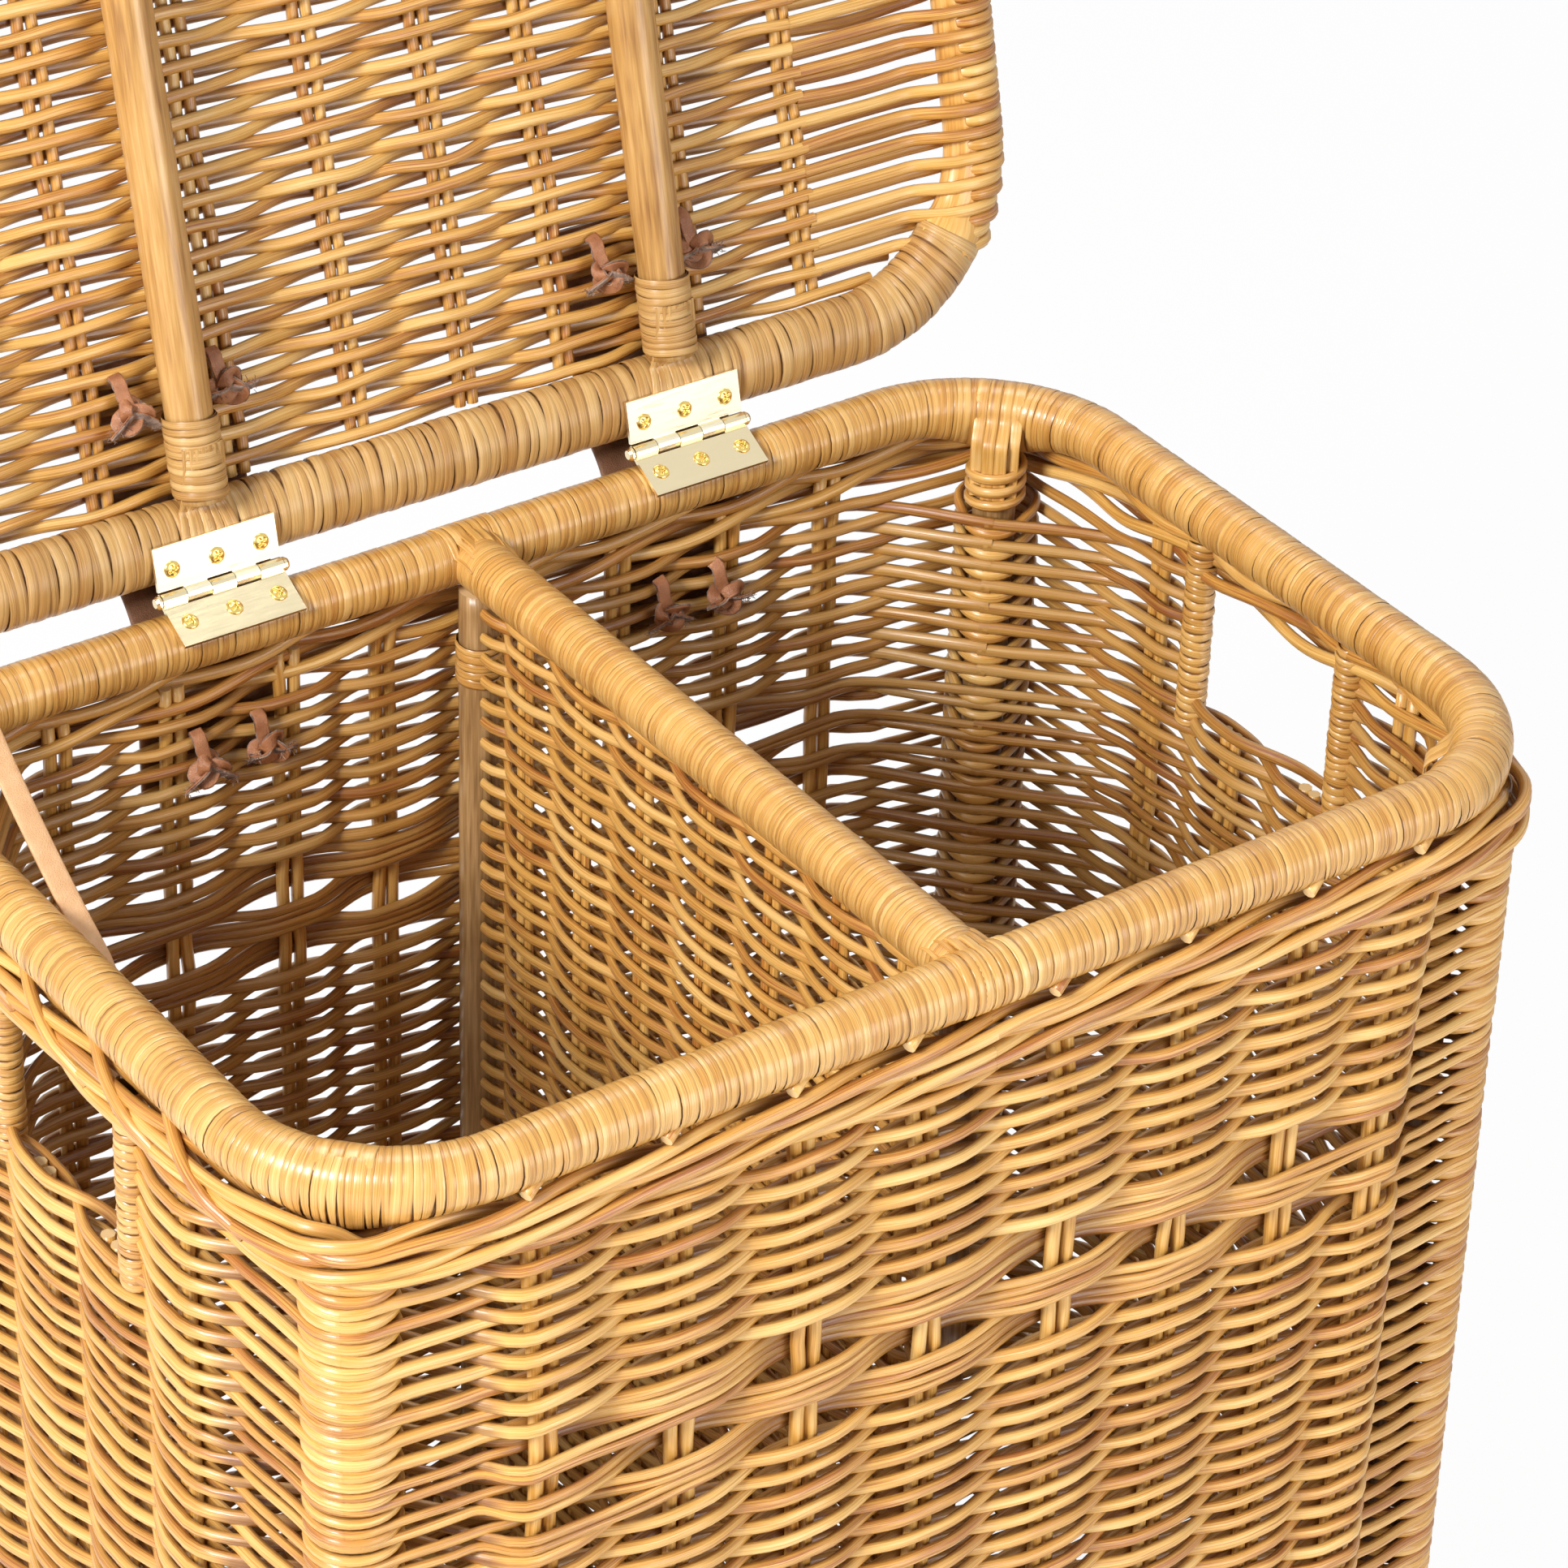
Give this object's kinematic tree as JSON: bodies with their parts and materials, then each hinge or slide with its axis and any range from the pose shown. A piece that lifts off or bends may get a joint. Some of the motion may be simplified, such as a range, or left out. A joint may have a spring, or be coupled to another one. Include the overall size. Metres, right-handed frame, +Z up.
{
  "type": "recycling basket",
  "caption": "Rounded rectangular woven rattan hamper with a central divider, hand holes in the end walls and a braced woven lid on brass hinges and leather straps.",
  "frame": {"origin": "on the floor, under the middle of the body, on the underside of the base batten", "axes": "+X along the width, to the right seen from the front; +Y from front to back; +Z up"},
  "size_m": [0.669, 0.5542, 1.0206],
  "materials": {
    "cane": "split cane binding, satin",
    "weave": "woven rattan, satin",
    "pole": "bare rattan pole, satin",
    "brass": "polished",
    "strap_leather": "matt brown leather",
    "stay_leather": "natural tan leather"
  },
  "bodies": {
    "basket": {"base_batten": "pole", "base_hoop": "cane", "base_panel": "weave", "centre_post_back": "pole", "centre_post_front": "pole", "corner_post_bl": "cane", "corner_post_br": "cane", "corner_post_fl": "cane", "corner_post_fr": "cane", "divider_panel": "weave", "divider_rail": "cane", "handle_post_left_back": "cane", "handle_post_left_front": "cane", "handle_post_right_back": "cane", "handle_post_right_front": "cane", "hinge_left_lower_leaf": "brass", "hinge_left_lower_screw_1": "brass", "hinge_left_lower_screw_2": "brass", "hinge_left_lower_screw_3": "brass", "hinge_left_pin": "brass", "hinge_right_lower_leaf": "brass", "hinge_right_lower_screw_1": "brass", "hinge_right_lower_screw_2": "brass", "hinge_right_lower_screw_3": "brass", "hinge_right_pin": "brass", "hinge_strap_left": "strap_leather", "hinge_strap_right": "strap_leather", "lid_stay": "stay_leather", "rim_hoop": "cane", "top_wale": "weave", "wall_back": "weave", "wall_front": "weave", "wall_left": "weave", "wall_right": "weave", "wall_tie_left_inner": "strap_leather", "wall_tie_left_outer": "strap_leather", "wall_tie_right_inner": "strap_leather", "wall_tie_right_outer": "strap_leather"},
    "lid": {"brace_binding_left_back": "cane", "brace_binding_left_front": "cane", "brace_binding_right_back": "cane", "brace_binding_right_front": "cane", "hinge_left_upper_leaf": "brass", "hinge_left_upper_screw_1": "brass", "hinge_left_upper_screw_2": "brass", "hinge_left_upper_screw_3": "brass", "hinge_right_upper_leaf": "brass", "hinge_right_upper_screw_1": "brass", "hinge_right_upper_screw_2": "brass", "hinge_right_upper_screw_3": "brass", "lid_brace_left": "pole", "lid_brace_right": "pole", "lid_hoop": "cane", "lid_panel": "weave", "lid_tie_left_inner": "strap_leather", "lid_tie_left_outer": "strap_leather", "lid_tie_right_inner": "strap_leather", "lid_tie_right_outer": "strap_leather"}
  },
  "joints": [
    {"name": "lid_hinge", "type": "hinge", "parent": "basket", "child": "lid", "pos_m": [0, 0.20749, 0.60692], "axis": [1, 0, 0], "range_deg": [0, 104.6], "deforming": ["hinge_strap_left", "hinge_strap_right", "lid_stay"]}
  ]
}
